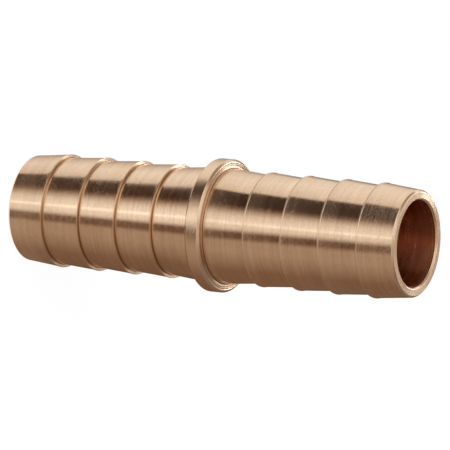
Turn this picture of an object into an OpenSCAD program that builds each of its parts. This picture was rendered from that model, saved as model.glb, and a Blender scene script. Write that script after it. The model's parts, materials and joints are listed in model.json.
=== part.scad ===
// Barbed hose mender, turned from one bar.
// Two equal hose tails stand back to back on a narrow collar, round one plain bore.
// The mender stands on one end: its axis is Z and z = 0 is the lower end face.

/* [Waterway] */
// Diameter of the plain bore, which runs from end to end
bore_d = 10.75; // [4:0.05:50]
// Chamfer round each mouth of the bore
mouth_chamfer = 0.2; // [0.05:0.05:0.7]

/* [Barbs] */
// Wall between the bore and the foot of a barb, where the tail is thinnest
wall_t = 1.33; // [0.8:0.01:5]
// Height of the square step at the back of each barb
barb_rise = 0.42; // [0.1:0.01:1.5]
// Number of barbs on each tail
barb_count = 4; // [1:1:8]
// Distance from one barb's step to the next one's
barb_pitch = 5.2; // [1:0.1:15]
// Width of the level land along each barb's edge
barb_land = 0.18; // [0.05:0.01:0.8]
// Radius that the tool's nose leaves at the foot of each step
nose_r = 0.08; // [0.02:0.01:0.1]

/* [Tail ends] */
// Length of the outermost barb, from its step to the end face
tip_l = 5; // [2:0.1:15]
// How far the outermost barb tapers down, which starts the hose
tip_fall = 0.5; // [0:0.01:1]
// Chamfer round the end of each tail
tip_chamfer = 0.25; // [0.05:0.05:0.8]

/* [Neck and collar] */
// Length of the neck, from the collar to the first barb's step
neck_l = 5.35; // [1:0.05:15]
// How far the neck widens from the first barb's foot to the collar
neck_rise = 0.46; // [0:0.01:2]
// Width of the collar along the axis
collar_w = 2.1; // [0.8:0.1:10]
// Height of the collar above the neck
collar_rise = 1.135; // [0.6:0.005:5]
// Chamfer on both edges of the collar's rim
collar_chamfer = 0.3; // [0.05:0.05:0.35]
// Fillet between the neck and the collar's side
foot_fillet = 0.16; // [0.05:0.01:0.28]

/* [Hidden] */
$fn = 180;

bore_r = bore_d / 2;
root_r = bore_r + wall_t;
barb_r = root_r + barb_rise;
tip_r = barb_r - tip_fall;
neck_r = root_r + neck_rise;
collar_r = neck_r + collar_rise;

collar_half = collar_w / 2;
first_step = collar_half + neck_l;
last_step = first_step + (barb_count - 1) * barb_pitch;
half_l = last_step + tip_l;

// Straight pieces that stand for each quarter-round fillet
fillet_steps = 5;

// Points are [radius, distance from the collar's middle].
// A concave fillet from a side wall that ends at side_at to a surface of radius low_r
function fillet(low_r, side_at, r, away) = [
    for (n = [0 : fillet_steps])
        let (turn = 90 * n / fillet_steps)
        [low_r + r * (1 - sin(turn)), side_at + away * r * (1 - cos(turn))]
];

// The rim's edge, the collar's side and the fillet down to the neck
collar_edge = concat(
    [[collar_r, collar_half - collar_chamfer]],
    [[collar_r - collar_chamfer, collar_half]],
    fillet(neck_r, collar_half, foot_fillet, 1)
);

// One barb: the tool's round at the foot of the step, the step and the land
function barb(step_at) = concat(
    reversed(fillet(root_r, step_at, nose_r, -1)),
    [[barb_r, step_at], [barb_r, step_at + barb_land]]
);

// The chamfered end of a tail and the mouth of the bore
tail_end = [
    [tip_r, half_l - tip_chamfer],
    [tip_r - tip_chamfer, half_l],
    [bore_r + mouth_chamfer, half_l],
    [bore_r, half_l - mouth_chamfer]
];

function reversed(points) = [for (n = [len(points) - 1 : -1 : 0]) points[n]];

barbs = [
    for (n = [0 : barb_count - 1])
        each barb(first_step + n * barb_pitch)
];

half_profile = concat(collar_edge, barbs, tail_end);

// The section of the whole wall, from one end face to the other
module wall_section() {
    upper = [for (p = half_profile) [p[0], half_l + p[1]]];
    lower = [for (p = reversed(half_profile)) [p[0], half_l - p[1]]];
    polygon(concat(upper, lower));
}

module hose_mender() {
    color([0.80, 0.58, 0.42])
        rotate_extrude()
            wall_section();
}

hose_mender();
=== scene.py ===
import json
import math
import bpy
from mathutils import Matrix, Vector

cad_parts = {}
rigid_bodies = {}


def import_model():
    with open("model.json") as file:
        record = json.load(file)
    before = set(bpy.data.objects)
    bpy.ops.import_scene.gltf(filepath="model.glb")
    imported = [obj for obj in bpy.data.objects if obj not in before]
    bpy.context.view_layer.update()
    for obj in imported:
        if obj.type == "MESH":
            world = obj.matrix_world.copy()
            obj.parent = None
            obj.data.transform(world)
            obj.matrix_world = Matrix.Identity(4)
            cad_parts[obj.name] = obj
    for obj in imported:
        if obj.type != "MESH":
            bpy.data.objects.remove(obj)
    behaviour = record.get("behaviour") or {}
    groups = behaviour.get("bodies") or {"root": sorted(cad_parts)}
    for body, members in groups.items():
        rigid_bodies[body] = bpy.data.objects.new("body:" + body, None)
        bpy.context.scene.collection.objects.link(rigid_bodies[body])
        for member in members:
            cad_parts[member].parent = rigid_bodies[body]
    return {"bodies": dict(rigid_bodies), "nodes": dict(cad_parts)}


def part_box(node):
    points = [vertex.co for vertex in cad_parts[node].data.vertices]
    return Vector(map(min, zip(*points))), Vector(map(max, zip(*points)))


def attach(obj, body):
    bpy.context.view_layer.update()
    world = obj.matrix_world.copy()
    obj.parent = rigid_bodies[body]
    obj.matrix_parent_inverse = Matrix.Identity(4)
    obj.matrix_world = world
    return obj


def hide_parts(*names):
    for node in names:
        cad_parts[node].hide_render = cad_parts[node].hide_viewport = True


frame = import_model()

from types import SimpleNamespace

import bpy
from mathutils import Matrix, Vector

NODE = "hose_mender"
MM = 0.001

# Camera, fitted to the photograph: the mender stands on its end, and the camera is rolled on its side
IMAGE_PX = 450
FOCAL_PX = 6010.81
PX_PER_MM = 8.06666              # at the collar's middle
COLLAR_PX = (222.596, 225.440)   # where the collar's middle shows
ELEVATION = 0.48707              # radians above the horizon
ROLL = math.pi / 2 + 0.094264
SENSOR_MM = 36.0
CLIP = (0.01, 20)

# Mesh of the turned piece
SEGMENTS = 280                   # round the axis
LONGEST_CONE = 1.5 * MM          # longest stretch of the profile without a ring
EDGE_BREAK = 0.075 * MM          # how far a sharp edge is rounded
LARGEST_BREAK = 0.42             # and at most this share of the profile's side next to it
ARC_STEPS = 3                    # straight pieces that stand for such a round
FLAT_TURN = 0.002                # radians; the profile is straight where it turns less
HOLLOW_TURN = math.radians(10)   # a corner turns by more than this
SHARP_TURN = math.radians(30)    # and a sharp edge by more than this
TOLERANCE = 0.001 * MM

# Small forms on the turned piece
LEAST_CREST_MM = 6.9             # the barbs' crests have a larger radius than this
LONG_CONE = 3 * MM               # a barb's cone is longer than this
CONE_FALL = 0.2 * MM             # and falls by more than this
LIP = 0.05 * MM                  # the crest of a barb stands proud of its cone by this
LIP_WIDTH = 0.04 * MM
COLLAR_FOOT = 7.2 * MM           # only the collar has a flat side above this radius
RING_PLACES = (0.30, 0.62)       # the rings that the tool left on it, as shares of its height
RING_DEPTH = 0.06 * MM
RING_HALF = 0.075 * MM           # half the width of such a ring

# Wear: how much a part of the metal is rubbed, from 0 to 1; and painted shade in its corners
BESIDE_BORE = 0.1 * MM           # the bore's wear reaches this far past its wall
BORE_RUBBED = 1.0
ABOVE_CREST = 0.02 * MM          # the collar's wear starts this far above the crests
COLLAR_RUBBED = 0.25
TIP_RUBBED = 0.60
TIP_SHARE = 0.82                 # the tip starts this far from the collar to the end
LOWER_RUBBED = 0.12              # the lower tail at the collar
LOWER_RUBBED_GAIN = 0.45         # and how much more at its end
STEP_RISE = 0.42 * MM            # the upper tail is rubbed at the crests and not at the feet of the steps
WALL_CLEAR = 0.5 * MM            # painted shade lies only in corners that are further than this from the bore
CORNER_SHADE_UP = 0.05 * MM             # how far the painted shade in a corner fades out up the step
CORNER_SHADE_ALONG = 0.07 * MM          # and along the tail

# Metal
BRASS = (0.87, 0.65, 0.455)
BRASS_WORN = (0.83, 0.59, 0.405)
# The bore's brass is darker and redder than the outside: painted shade inside the bore.
BORE_SHADED_BRASS = (0.74, 0.34, 0.175)
BORE_SHADED_WORN = (0.60, 0.235, 0.115)
CORNER_SHADE = (0.40, 0.27, 0.18)       # what the painted shade in the corners leaves of the metal's colour
SOFT_ROUGHNESS = 0.55            # of the haze where the metal is rubbed
LARGEST_HAZE = 0.8
SCRATCH_HAZE = 0.18
ROUGHNESS_SWING = 0.06
SKIN_RADIUS_MM = 7.0             # turns angles into lengths round the tails
SCRATCH_SIZE = (2.4, 0.065, 1)   # mm
SCRATCH_EDGE = (0.66, 0.74)      # the noise in which scratches start and are full


def remove_startup_objects():
    """Only the frame's own objects stay."""
    kept = set(frame["nodes"].values()) | set(frame["bodies"].values())
    for obj in list(bpy.data.objects):
        if obj not in kept:
            bpy.data.objects.remove(obj)


def linked(name, data):
    """A new object in the scene."""
    obj = bpy.data.objects.new(name, data)
    bpy.context.scene.collection.objects.link(obj)
    return obj


# Geometry of the piece

def profile_rings(mesh):
    """The rings of the CAD solid as (radius, height), in order round the wall's section."""
    def ring(co):
        return (round(math.hypot(co.x, co.y) / MM, 3), round(co.z / MM, 3))

    keys = [ring(v.co) for v in mesh.vertices]
    beside = {k: set() for k in keys}
    for edge in mesh.edges:
        a, b = (keys[i] for i in edge.vertices)
        if a != b:
            beside[a].add(b)
            beside[b].add(a)
    start = max(beside, key=lambda k: (k[0], k[1]))
    walk = [start]
    last, here = None, start
    while True:
        onward = sorted(beside[here] - {last}, key=lambda k: -k[1])
        last, here = here, onward[0]
        if here == start:
            return [Vector(p) * MM for p in walk]
        walk.append(here)


def after(points, i):
    """The next point of the closed profile."""
    return points[(i + 1) % len(points)]


def turn_at(points, i):
    """Angle by which the closed profile turns at one of its points."""
    a = points[i] - points[i - 1]
    b = after(points, i) - points[i]
    return abs(a.angle_signed(b))


def signed_area(points):
    """Twice the profile's area, below 0 where the profile runs clockwise."""
    return sum(p.cross(after(points, i)) for i, p in enumerate(points))


def bore_radius(points):
    return min(p.x for p in points)


def crest_radius(points):
    """Radius of the barbs' crests, the commonest of the outer radii that are large enough."""
    radii = [round(p.x / MM, 3) for p in points]
    return max(set(radii), key=lambda r: (radii.count(r) if r > LEAST_CREST_MM else 0)) * MM


def without_flat_rings(points):
    return [p for i, p in enumerate(points) if turn_at(points, i) > FLAT_TURN]


def with_lips(points):
    """Each barb's cone starts below a small lip at the crest."""
    crest = crest_radius(points)
    out = []
    for i, p in enumerate(points):
        q = after(points, i)
        out.append(p)
        top, foot = (p, q) if p.x > q.x else (q, p)
        long_cone = abs(q.y - p.y) > LONG_CONE and top.x - foot.x > CONE_FALL
        if long_cone and abs(top.x - crest) < TOLERANCE:
            way = 1 if foot.y > top.y else -1
            out.append(Vector((top.x - LIP, top.y + way * LIP_WIDTH)))
    return out


def with_collar_rings(points):
    """Two shallow rings turned into each side of the collar."""
    middle = sum(p.y for p in points) / len(points)
    out = []
    for i, p in enumerate(points):
        q = after(points, i)
        out.append(p)
        if abs(q.y - p.y) > TOLERANCE or min(p.x, q.x) < COLLAR_FOOT:
            continue
        inward = -1 if p.y > middle else 1
        for share in RING_PLACES:
            here = p + (q - p) * share
            half = (q - p).normalized() * RING_HALF
            dip = Vector((0, inward * RING_DEPTH))
            out += [here - half, here + dip, here + half]
    return out


def hollow_corners(points):
    """Whether each point lies in a corner at the foot of a step, of the collar or of a ring on its side."""
    area = signed_area(points)
    crest = crest_radius(points)
    innermost = bore_radius(points) + WALL_CLEAR
    found = []
    for i, p in enumerate(points):
        a = p - points[i - 1]
        b = after(points, i) - p
        inward = a.cross(b) * area < 0 and turn_at(points, i) > HOLLOW_TURN
        under_lip = abs(p.x - crest) < 1.2 * LIP
        found.append(inward and not under_lip and p.x > innermost)
    return found


def with_corner_rings(points):
    """A ring just beyond each corner, where its painted shade ends."""
    hollow = hollow_corners(points)
    out = []
    for i, p in enumerate(points):
        j = (i + 1) % len(points)
        out.append(p)
        gap = points[j] - p
        reach = CORNER_SHADE_ALONG if abs(gap.y) > abs(gap.x) else CORNER_SHADE_UP
        if gap.length < 2.2 * reach:
            continue
        if hollow[i]:
            out.append(p + gap.normalized() * reach)
        if hollow[j]:
            out.append(points[j] - gap.normalized() * reach)
    return out


def with_broken_edges(points):
    """Each sharp edge of the profile gets a small round."""
    out = []
    for i, p in enumerate(points):
        if turn_at(points, i) < SHARP_TURN:
            out.append(p)
            continue
        before, beyond = points[i - 1] - p, after(points, i) - p
        cut = min(EDGE_BREAK, LARGEST_BREAK * before.length, LARGEST_BREAK * beyond.length)
        start, end = p + before.normalized() * cut, p + beyond.normalized() * cut
        for n in range(ARC_STEPS + 1):
            t = n / ARC_STEPS
            out.append(start * (1 - t) ** 2 + p * 2 * t * (1 - t) + end * t ** 2)
    return out


def with_added_rings(points):
    """Long stretches of the profile get rings in between."""
    out = []
    for i, p in enumerate(points):
        step = after(points, i) - p
        parts = max(1, math.ceil(step.length / LONGEST_CONE))
        out += [p + step * n / parts for n in range(parts)]
    return out


def ring_normals(points):
    """Outward normals of the profile, in which the longer neighbour counts for more."""
    side = 1 if signed_area(points) > 0 else -1
    normals = []
    for i, p in enumerate(points):
        a, b = p - points[i - 1], after(points, i) - p
        both = a * a.length + b * b.length
        if turn_at(points, i) < SHARP_TURN:
            both = a.normalized() * a.length ** 3 + b.normalized() * b.length ** 3
        normals.append(Vector((both.y, -both.x)).normalized() * side)
    return normals


def wear_and_corner_shade(points):
    """For each ring: how much the metal there is rubbed, and how much painted shade lies there."""
    heights = [p.y for p in points]
    middle = (min(heights) + max(heights)) / 2
    half = max(heights) - middle
    crest = crest_radius(points)
    bore = bore_radius(points)
    out = []
    for p, hollow in zip(points, hollow_corners(points)):
        share = abs(p.y - middle) / half
        if p.x < bore + BESIDE_BORE:
            rubbed = BORE_RUBBED
        elif p.x > crest + ABOVE_CREST:
            rubbed = COLLAR_RUBBED
        elif p.y < middle:
            rubbed = LOWER_RUBBED + LOWER_RUBBED_GAIN * share
        elif share > TIP_SHARE:
            rubbed = TIP_RUBBED
        else:
            rubbed = min(1.0, max(0.0, 1 - (crest - p.x) / STEP_RISE)) ** 2
        # The second number marks the corners that get painted shade.
        out.append((rubbed, 1.0 if hollow else 0.0))
    return out


def ring_faces(points, material_of):
    """The faces from each ring to the next, and the number of each one's material."""
    faces, slots = [], []
    for i, p in enumerate(points):
        here = i * SEGMENTS
        there = (i + 1) % len(points) * SEGMENTS
        for k in range(SEGMENTS):
            m = (k + 1) % SEGMENTS
            faces.append((here + k, here + m, there + m, there + k))
            slots.append(material_of(p, after(points, i)))
    return faces, slots


def lathe(name, points, materials, material_of):
    """A closed turned mesh from its profile, with the place along the profile kept for the materials."""
    angles = [2 * math.pi * k / SEGMENTS for k in range(SEGMENTS)]
    along = [0.0]
    for a, b in zip(points, points[1:]):
        along.append(along[-1] + (b - a).length)
    verts, normals, turned, worn_and_shaded = [], [], [], []
    for p, n, s, (rubbed, corner_shade) in zip(points, ring_normals(points), along, wear_and_corner_shade(points)):
        for a in angles:
            verts.append((p.x * math.cos(a), p.x * math.sin(a), p.y))
            normals.append((n.x * math.cos(a), n.x * math.sin(a), n.y))
            turned.append((math.cos(a), math.sin(a), s / MM))
            worn_and_shaded.append((rubbed, corner_shade, 0))
    faces, slots = ring_faces(points, material_of)
    mesh = bpy.data.meshes.new(name)
    mesh.from_pydata(verts, [], faces)
    mesh.polygons.foreach_set("material_index", slots)
    mesh.polygons.foreach_set("use_smooth", [True] * len(faces))
    for key, values in (("turned", turned), ("wear_and_corner_shade", worn_and_shaded)):
        layer = mesh.attributes.new(key, "FLOAT_VECTOR", "POINT")
        layer.data.foreach_set("vector", [x for v in values for x in v])
    mesh.validate()
    mesh.update()
    mesh.normals_split_custom_set_from_vertices(normals)
    for material in materials:
        mesh.materials.append(material)
    return linked(name, mesh)


# Materials

class Nodes:
    """The node tree of a material or of the world, with short calls for the nodes used here."""

    def __init__(self, owner):
        owner.use_nodes = True
        self.tree = owner.node_tree
        self.tree.nodes.clear()

    def add(self, kind, settings=None, **inputs):
        node = self.tree.nodes.new(kind)
        for key, value in (settings or {}).items():
            setattr(node, key, value)
        for key, value in inputs.items():
            self.put(node, key.replace("_", " "), value)
        return node

    def put(self, node, socket, value):
        """Links or sets an input, which is named by its name or its number."""
        target = node.inputs[socket]
        if isinstance(value, bpy.types.NodeSocket):
            self.tree.links.new(value, target)
        else:
            target.default_value = value

    def output(self, shader, kind="ShaderNodeOutputMaterial"):
        self.put(self.add(kind), "Surface", shader.outputs[0])

    def math(self, operation, a, b=0.0, c=0.0):
        node = self.add("ShaderNodeMath", {"operation": operation})
        for place, value in enumerate((a, b, c)):
            self.put(node, place, value)
        return node.outputs[0]

    def span(self, value, low, high):
        """A value of about 0 to 1 spread from low to high."""
        return self.math("MULTIPLY_ADD", value, high - low, low)

    def total(self, *parts):
        """The sum of values, each times its weight."""
        out = self.math("MULTIPLY", *parts[0])
        for part in parts[1:]:
            out = self.math("ADD", out, self.math("MULTIPLY", *part))
        return out

    def between(self, value, low, high):
        """0 up to low, 1 from high on."""
        node = self.add("ShaderNodeMapRange", {"interpolation_type": "SMOOTHSTEP"}, Value=value)
        self.put(node, "From Min", low)
        self.put(node, "From Max", high)
        return node.outputs[0]

    def attribute(self, name):
        return self.add("ShaderNodeAttribute", {"attribute_name": name}).outputs["Vector"]

    def parts(self, vector):
        """The three numbers of a vector."""
        return self.add("ShaderNodeSeparateXYZ", Vector=vector).outputs

    def placed(self, round_scale, along_scale, shift=0.0):
        """The place on the turned surface, scaled round the axis and along the profile."""
        scaled = self.add("ShaderNodeMapping", Vector=self.attribute("turned"))
        self.put(scaled, "Scale", (round_scale, round_scale, along_scale))
        self.put(scaled, "Location", (shift, shift * 1.7, shift * 2.3))
        return scaled.outputs["Vector"]

    def noise(self, vector, detail=2.0, rough=0.5):
        node = self.add("ShaderNodeTexNoise", Vector=vector, Scale=1.0, Detail=detail, Roughness=rough)
        return node.outputs["Fac"]

    def ramp(self, value, stops):
        node = self.add("ShaderNodeValToRGB", Fac=value)
        elements = node.color_ramp.elements
        elements[0].position, elements[0].color = stops[0][0], (*stops[0][1], 1)
        elements[1].position, elements[1].color = stops[-1][0], (*stops[-1][1], 1)
        for place, colour in stops[1:-1]:
            elements.new(place).color = (*colour, 1)
        return node.outputs["Color"]

    def mix(self, share, a, b, mode="MIX"):
        """Two colours mixed."""
        node = self.add("ShaderNodeMix", {"data_type": "RGBA", "blend_type": mode})
        for place, value in ((0, share), (6, a), (7, b)):
            self.put(node, place, value)
        return node.outputs[2]


def scratches(n, lean, shift):
    """Sparse fine scratches that lean by an angle from the way round, 0 to 1."""
    place = n.parts(n.attribute("turned"))
    angle = n.math("ARCTAN2", place[0], n.math("MULTIPLY", place[1], -1.0))
    flat = n.add("ShaderNodeCombineXYZ", X=n.math("MULTIPLY", angle, SKIN_RADIUS_MM), Y=place[2])
    leaning = n.add("ShaderNodeMapping", {"vector_type": "TEXTURE"}, Vector=flat.outputs[0])
    n.put(leaning, "Location", (shift, shift, shift))
    n.put(leaning, "Rotation", (0, 0, math.radians(lean)))
    n.put(leaning, "Scale", SCRATCH_SIZE)
    return n.between(n.noise(leaning.outputs["Vector"], detail=1.0), *SCRATCH_EDGE)


def tool_marks(n):
    """The marks of turning and use: lines round the axis from coarse to fine, clouds, mottling, scratches."""
    marks = SimpleNamespace()
    marks.bands = n.noise(n.placed(0.7, 1.2, shift=3.1))
    marks.lines = n.noise(n.placed(0.9, 3.1), rough=0.6)
    marks.hair = n.noise(n.placed(1.6, 8.0, shift=5.3))
    marks.clouds = n.noise(n.placed(2.4, 0.35, shift=7.7), detail=3.0)
    marks.mottle = n.noise(n.placed(17.0, 2.6, shift=9.2), detail=3.0, rough=0.6)
    marks.scratched = n.math("MAXIMUM", scratches(n, 38, 2.3), scratches(n, -52, 6.1))
    marks.streak = n.total((marks.lines, 0.40), (marks.bands, 0.20), (marks.hair, 0.20), (marks.mottle, 0.20))
    return marks


def metal_colour(n, marks, corner_shade, base, worn_and_shaded, contrast):
    """Fresh and worn metal in clouds, shaded by the streaks and darkened in the corners by painted shade."""
    shade = n.span(marks.streak, 1.0 - contrast, 1.0 + 0.9 * contrast)
    grey = n.add("ShaderNodeCombineColor", Red=shade, Green=shade, Blue=shade)
    metal = n.mix(n.span(marks.clouds, -0.3, 0.9), (*base, 1), (*worn_and_shaded, 1))
    metal = n.mix(1.0, metal, grey.outputs[0], "MULTIPLY")
    # Painted shade: the metal's colour is darkened in the corners at the feet of the steps and in the
    # collar's rings.
    shaded_metal = n.mix(1.0, metal, (*CORNER_SHADE, 1), "MULTIPLY")
    return n.mix(n.math("MULTIPLY", corner_shade, n.between(marks.bands, 0.2, 0.5)), metal, shaded_metal)


def metal_bump(n, marks, line_depth):
    height = n.total((marks.lines, 0.5), (marks.hair, 0.15), (marks.mottle, 0.1), (marks.scratched, -0.15))
    return n.add("ShaderNodeBump", Strength=1.0, Distance=line_depth, Height=height).outputs[0]


def metal(n, colour, bump, roughness):
    shader = n.add("ShaderNodeBsdfPrincipled", Metallic=1.0, Roughness=roughness, Normal=bump)
    n.put(shader, "Base Color", colour)
    return shader


def turned_metal(name, base, worn_and_shaded, roughness, haze, line_depth, contrast):
    """Turned metal: reflections stay sharp round the axis and blur along the profile, with fine tool lines.

    Where it is rubbed a soft haze lies over the reflections, and painted shade darkens the corners.
    """
    material = bpy.data.materials.new(name)
    n = Nodes(material)
    marks = tool_marks(n)
    # How much the metal is rubbed, and where painted shade darkens the corners.
    rubbed, corner_shade, _ = n.parts(n.attribute("wear_and_corner_shade"))
    colour = metal_colour(n, marks, corner_shade, base, worn_and_shaded, contrast)
    bump = metal_bump(n, marks, line_depth)

    swing = n.math("MULTIPLY", n.math("ADD", marks.bands, marks.lines), ROUGHNESS_SWING)
    sharp = metal(n, colour, bump, n.math("ADD", roughness - ROUGHNESS_SWING, swing))
    tangent = n.add("ShaderNodeTangent", {"direction_type": "RADIAL", "axis": "Z"})
    n.put(sharp, "Tangent", tangent.outputs[0])
    n.put(sharp, "Anisotropic", 1.0)
    n.put(sharp, "Anisotropic Rotation", 0.25)
    soft = metal(n, colour, bump, SOFT_ROUGHNESS)

    share = n.math("MULTIPLY", rubbed, n.span(marks.streak, -0.6 * haze, 2.6 * haze))
    share = n.math("MULTIPLY_ADD", marks.scratched, SCRATCH_HAZE, share)
    share = n.math("MINIMUM", n.math("MAXIMUM", share, 0.0), LARGEST_HAZE)
    both = n.add("ShaderNodeMixShader")
    for place, value in enumerate((share, sharp.outputs[0], soft.outputs[0])):
        n.put(both, place, value)
    n.output(both)
    return material


# Studio

STUDIO_REACH = 150 * MM          # how far the strips run along the floor before they rise
STUDIO_TOP = 260 * MM
STRIP_LIFT = 0.02 * MM           # the strips lie this far above the floor
STRIP_COLUMNS = 360
STRIP_SPAN = 178                 # the strips leave the foot over these degrees, on the camera's side
TAIL_SHARE = 0.81                # the foot's radius as a share of the collar's
# Strips of the studio as (direction, brightness): degrees from the camera's side, as the mender mirrors them.
# The side below 0 is lit and the side above 0 is the dim end of the room.
# Over the floor near the mender
NEAR = [
    (-178, 0.25), (-168, 0.42), (-152, 0.50), (-136, 0.78), (-114, 1.00), (-97, 0.94), (-79, 0.82),
    (-77, 0.04), (-49, 0.04), (-42, 0.20), (-27, 0.84), (-18, 1.00), (-13, 1.05), (-11, 1.40),
    (-8, 1.40), (-6, 1.02), (4, 0.92), (12, 0.17), (23, 0.15), (30, 0.43), (50, 0.43), (98, 0.22),
    (150, 0.18), (174, 0.12),
]
# Over the floor further off
FAR = [
    (-178, 0.15), (-168, 0.25), (-157, 0.38), (-143, 0.90), (-114, 1.00), (-94, 0.95), (-74.5, 0.82),
    (-72, 0.03), (-43, 0.03), (-36, 0.17), (-22, 0.80), (-14, 0.95), (-9, 1.00), (-7.5, 1.25),
    (-5, 1.25), (-3, 0.95), (4, 0.84), (13, 0.15), (22, 0.15), (30, 0.43), (50, 0.44), (98, 0.22),
    (150, 0.21), (174, 0.12),
]
# Above the horizon
WALL = [
    (-178, 0.90), (-155, 1.30), (-144, 1.40), (-134, 0.30), (-84, 0.34), (-70, 1.10), (-26, 1.15),
    (-6, 0.85), (16, 0.60), (45, 0.42), (90, 0.25), (140, 0.20), (156, 0.45), (178, 0.50),
]
OVERHEAD = [
    (-178, 1.00), (-140, 1.20), (-128, 0.46), (-98, 0.44), (-78, 0.68), (-50, 0.98), (-20, 1.05),
    (0, 0.72), (41, 0.60), (73, 0.38), (98, 0.20), (146, 0.16), (158, 1.10), (178, 1.20),
]
# Nearly straight up
TOP = [(-178, 2.20), (-140, 2.00), (-128, 0.30), (-20, 0.50), (60, 0.40), (178, 0.30)]
WALL_WARMTH = 0.35
# Where along a strip one row of tones gives way to the next, in mm: from, to
NEAR_TO_FAR = (62, 80)
FAR_TO_WALL = (212, 238)
WALL_TO_OVERHEAD = (300, 345)
OVERHEAD_TO_TOP = (415, 440)
FOOT = (3, 8)                    # within this of the mender's foot the strips are paler
FOOT_SHARE = 0.15                # by this share of a pale tone
FOOT_TONE = 0.6

# Upright panels behind the mender
PANEL_HALF = 12 * MM             # half the width of the grey panel
PANEL_TONE = 0.48
LAMP_AWAY = 140 * MM             # the two small lamps, one on each side of the grey panel
LAMP_ACROSS = (13 * MM, 42 * MM)
LAMP_HEIGHTS = (94 * MM, 120 * MM)
LEFT_LAMP = 5.5
RIGHT_LAMP = 1.2

FLOOR_HALF = 3.0
FLOOR_GREY = 0.06                # the floor takes little light, and its shadow shows in this
FLOOR_WHITE = 0.96
WORLD_LIGHT = 0.5                # on the object; the backdrop itself shows white
LIGHT_PLACE = (-0.25, -0.35, 0.9)
LIGHT_SIZE = 0.5
LIGHT_POWER = 5.0


def tone(level, warmth=1.0):
    """A grey of the room: warmer the dimmer it is, and a little cool above 1."""
    if level > 1:
        return (level, 1.08 * level - 0.08, 1.16 * level - 0.16)
    return (level, level ** (1 + 0.30 * warmth), level ** (1 + 0.55 * warmth))


def only_reflected(obj):
    """The metal mirrors it, and nothing else sees it."""
    obj.visible_camera = False
    obj.visible_diffuse = False
    obj.visible_transmission = False
    obj.visible_shadow = False


def glowing(n, colour):
    n.output(n.add("ShaderNodeEmission", Color=colour, Strength=1.0))


def strip_rows():
    """Distance and height of the points along a strip: over the floor, up, and back overhead."""
    flat = [(STUDIO_REACH * n / 8, STRIP_LIFT) for n in range(9)]
    rise = [(STUDIO_REACH, STUDIO_TOP * n / 8) for n in range(1, 5)]
    arch = []
    for n in range(1, 9):
        turn = math.radians(90 * n / 8)
        distance = STUDIO_REACH * (0.06 + 0.94 * math.cos(turn))
        arch.append((distance, STUDIO_TOP * (0.5 + 0.5 * math.sin(turn))))
    return flat + rise + arch


def strip_mesh():
    """Each strip starts at the mender's foot and runs where the metal above that foot reflects."""
    foot = TAIL_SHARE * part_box(NODE)[1].x
    rows = strip_rows()
    runs = [0.0]
    for a, b in zip(rows, rows[1:]):
        runs.append(runs[-1] + math.dist(a, b))
    verts, marks = [], []
    for i in range(STRIP_COLUMNS + 1):
        share = i / STRIP_COLUMNS
        turn = math.radians((share - 0.5) * STRIP_SPAN)
        start = Vector((foot * math.sin(turn), -foot * math.cos(turn)))
        way = Vector((math.sin(2 * turn), -math.cos(2 * turn)))
        for (distance, height), run in zip(rows, runs):
            p = start + way * distance
            verts.append((p.x, p.y, height))
            marks.append((share, run / MM, 0))
    width = len(rows)
    corners = [i * width + j for i in range(STRIP_COLUMNS) for j in range(width - 1)]
    mesh = bpy.data.meshes.new("reflection_card")
    mesh.from_pydata(verts, [], [(k, k + width, k + width + 1, k + 1) for k in corners])
    place = mesh.attributes.new("strip", "FLOAT_VECTOR", "POINT")
    place.data.foreach_set("vector", [x for v in marks for x in v])
    mesh.update()
    return mesh


def strip_material():
    """The tones of the strips, row by row from the foot to overhead."""
    material = bpy.data.materials.new("reflection_card")
    n = Nodes(material)
    across, along, _ = n.parts(n.attribute("strip"))

    def row(strips, warmth=1.0):
        stops = [(0.5 + a / (2 * STRIP_SPAN), tone(level, warmth)) for a, level in strips]
        return n.ramp(across, stops)

    def change(span):
        return n.between(along, *span)

    colour = n.mix(change(NEAR_TO_FAR), row(NEAR), row(FAR))
    paler = n.span(change(FOOT), FOOT_SHARE, 0.0)
    colour = n.mix(paler, colour, (*tone(FOOT_TONE), 1))
    colour = n.mix(change(FAR_TO_WALL), colour, row(WALL, WALL_WARMTH))
    colour = n.mix(change(WALL_TO_OVERHEAD), colour, row(OVERHEAD))
    colour = n.mix(change(OVERHEAD_TO_TOP), colour, row(TOP))
    glowing(n, colour)
    return material


def reflection_card():
    """Strips of light and shade over the floor, up and overhead, which only the metal reflects."""
    mesh = strip_mesh()
    mesh.materials.append(strip_material())
    only_reflected(linked("reflection_card", mesh))


def upright_panel(name, across, heights, away, brightness):
    """A flat upright panel behind the mender, which its end face, its steps and the collar reflect."""
    corners = [(x, away, z) for z in heights for x in across]
    mesh = bpy.data.meshes.new(name)
    mesh.from_pydata(corners, [], [(0, 1, 3, 2)])
    material = bpy.data.materials.new(name)
    glowing(Nodes(material), (*tone(brightness), 1))
    mesh.materials.append(material)
    only_reflected(linked(name, mesh))


def back_panels():
    """A grey panel behind, and a small bright lamp on each side of it for the glints on the steps."""
    upright_panel("back_panel", (-PANEL_HALF, PANEL_HALF), (0.0, STUDIO_TOP), STUDIO_REACH, PANEL_TONE)
    near, far = LAMP_ACROSS
    upright_panel("left_lamp", (-far, -near), LAMP_HEIGHTS, LAMP_AWAY, LEFT_LAMP)
    upright_panel("right_lamp", (near, far), LAMP_HEIGHTS, LAMP_AWAY, RIGHT_LAMP)


def seen(n):
    """1 for the camera's rays and for mirrored and transmitted ones, 0 for the light on the object."""
    path = n.add("ShaderNodeLightPath").outputs
    shown = n.math("MAXIMUM", path["Is Camera Ray"], path["Is Glossy Ray"])
    return n.math("MAXIMUM", shown, path["Is Transmission Ray"])


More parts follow.
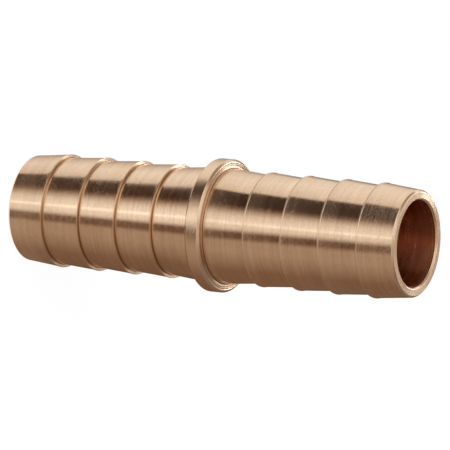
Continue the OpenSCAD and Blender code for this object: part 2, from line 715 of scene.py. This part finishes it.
def floor():
    """A white floor that keeps the mender's shadow."""
    material = bpy.data.materials.new("floor")
    n = Nodes(material)
    plain = n.add("ShaderNodeBsdfDiffuse", Color=(FLOOR_GREY, FLOOR_GREY, FLOOR_GREY, 1))
    white = n.add("ShaderNodeEmission", Color=(FLOOR_WHITE, FLOOR_WHITE, FLOOR_WHITE, 1), Strength=seen(n))
    both = n.add("ShaderNodeAddShader")
    n.put(both, 0, plain.outputs[0])
    n.put(both, 1, white.outputs[0])
    n.output(both)
    sides = (-FLOOR_HALF, FLOOR_HALF)
    mesh = bpy.data.meshes.new("floor")
    mesh.from_pydata([(x, y, 0) for y in sides for x in sides], [], [(0, 1, 3, 2)])
    mesh.materials.append(material)
    linked("floor", mesh)


def world():
    made = bpy.data.worlds.new("studio")
    bpy.context.scene.world = made
    n = Nodes(made)
    light = n.add("ShaderNodeBackground", Color=(1, 1, 1, 1), Strength=n.span(seen(n), WORLD_LIGHT, 1.0))
    n.output(light, "ShaderNodeOutputWorld")


def soft_light():
    data = bpy.data.lights.new("soft_light", "AREA")
    data.shape = "DISK"
    data.size = LIGHT_SIZE
    data.energy = LIGHT_POWER
    obj = linked("soft_light", data)
    place = Vector(LIGHT_PLACE)
    obj.location = place
    obj.rotation_euler = (-place).to_track_quat("-Z", "Y").to_euler()
    obj.visible_glossy = False


def camera():
    low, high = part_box(NODE)
    middle = (low + high) / 2
    back = Vector((0, -math.cos(ELEVATION), math.sin(ELEVATION)))
    level_right = Vector((1, 0, 0))
    level_up = Vector((0, math.sin(ELEVATION), math.cos(ELEVATION)))
    right = math.cos(ROLL) * level_right + math.sin(ROLL) * level_up
    up = -math.sin(ROLL) * level_right + math.cos(ROLL) * level_up
    aside = (COLLAR_PX[0] - IMAGE_PX / 2) / PX_PER_MM * MM
    above = -(COLLAR_PX[1] - IMAGE_PX / 2) / PX_PER_MM * MM
    away = FOCAL_PX / PX_PER_MM * MM
    data = bpy.data.cameras.new("camera")
    data.sensor_width = SENSOR_MM
    data.lens = FOCAL_PX / IMAGE_PX * SENSOR_MM
    data.clip_start, data.clip_end = CLIP
    obj = linked("camera", data)
    place = middle - right * aside - up * above + back * away
    obj.matrix_world = Matrix.Translation(place) @ Matrix((right, up, back)).transposed().to_4x4()
    bpy.context.scene.camera = obj


def mender():
    """The turned piece, from the CAD solid's own profile."""
    rings = without_flat_rings(profile_rings(frame["nodes"][NODE].data))
    points = with_collar_rings(with_lips(rings))
    points = with_added_rings(with_corner_rings(with_broken_edges(points)))
    bore_r = bore_radius(rings)

    def material_of(a, b):
        return 1 if max(a.x, b.x) < bore_r + 10 * TOLERANCE else 0

    outside = turned_metal(
        "turned_brass", BRASS, BRASS_WORN,
        roughness=0.17, haze=0.26, line_depth=0.0105 * MM, contrast=0.43,
    )
    # The bore's metal is a darker, redder copy of the brass: painted shade inside the bore.
    inside = turned_metal(
        "bore_brass_painted_shade", BORE_SHADED_BRASS, BORE_SHADED_WORN,
        roughness=0.26, haze=0.04, line_depth=0.030 * MM, contrast=0.85,
    )
    piece = lathe("turned_body", points, [outside, inside], material_of)
    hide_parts(NODE)
    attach(piece, "root")


remove_startup_objects()
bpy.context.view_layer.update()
bpy.context.scene.view_settings.view_transform = "Standard"
camera()
world()
floor()
soft_light()
reflection_card()
back_panels()
mender()
